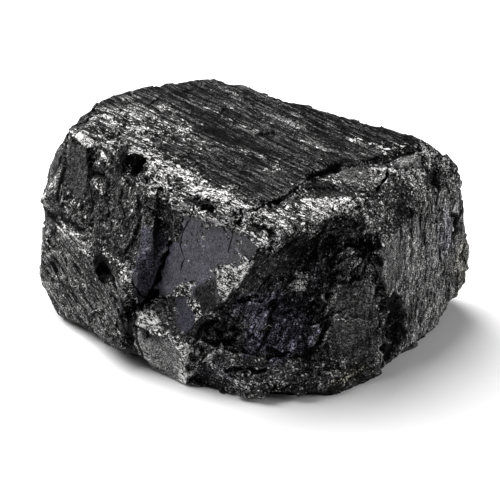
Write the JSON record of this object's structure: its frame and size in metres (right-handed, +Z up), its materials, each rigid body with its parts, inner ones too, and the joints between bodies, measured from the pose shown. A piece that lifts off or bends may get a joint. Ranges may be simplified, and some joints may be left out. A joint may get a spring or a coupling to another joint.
{
  "type": "jet stone",
  "caption": "Rough lump of raw jet: streaky bedding face on top, flat broken sides with glassy facets, and an overhung hollow in front.",
  "frame": {"origin": "on the resting face, under the centre of the lump's box", "axes": "+X along the lump's length, +Z up, and the glassy facets and the hollow face -Y"},
  "size_m": [0.0924, 0.0702, 0.0417],
  "materials": {
    "jet": "rough black fracture with streaks and pale bruised edges, glassy on a few facets"
  },
  "bodies": {
    "root": {"jet_stone": "jet"}
  },
  "joints": []
}
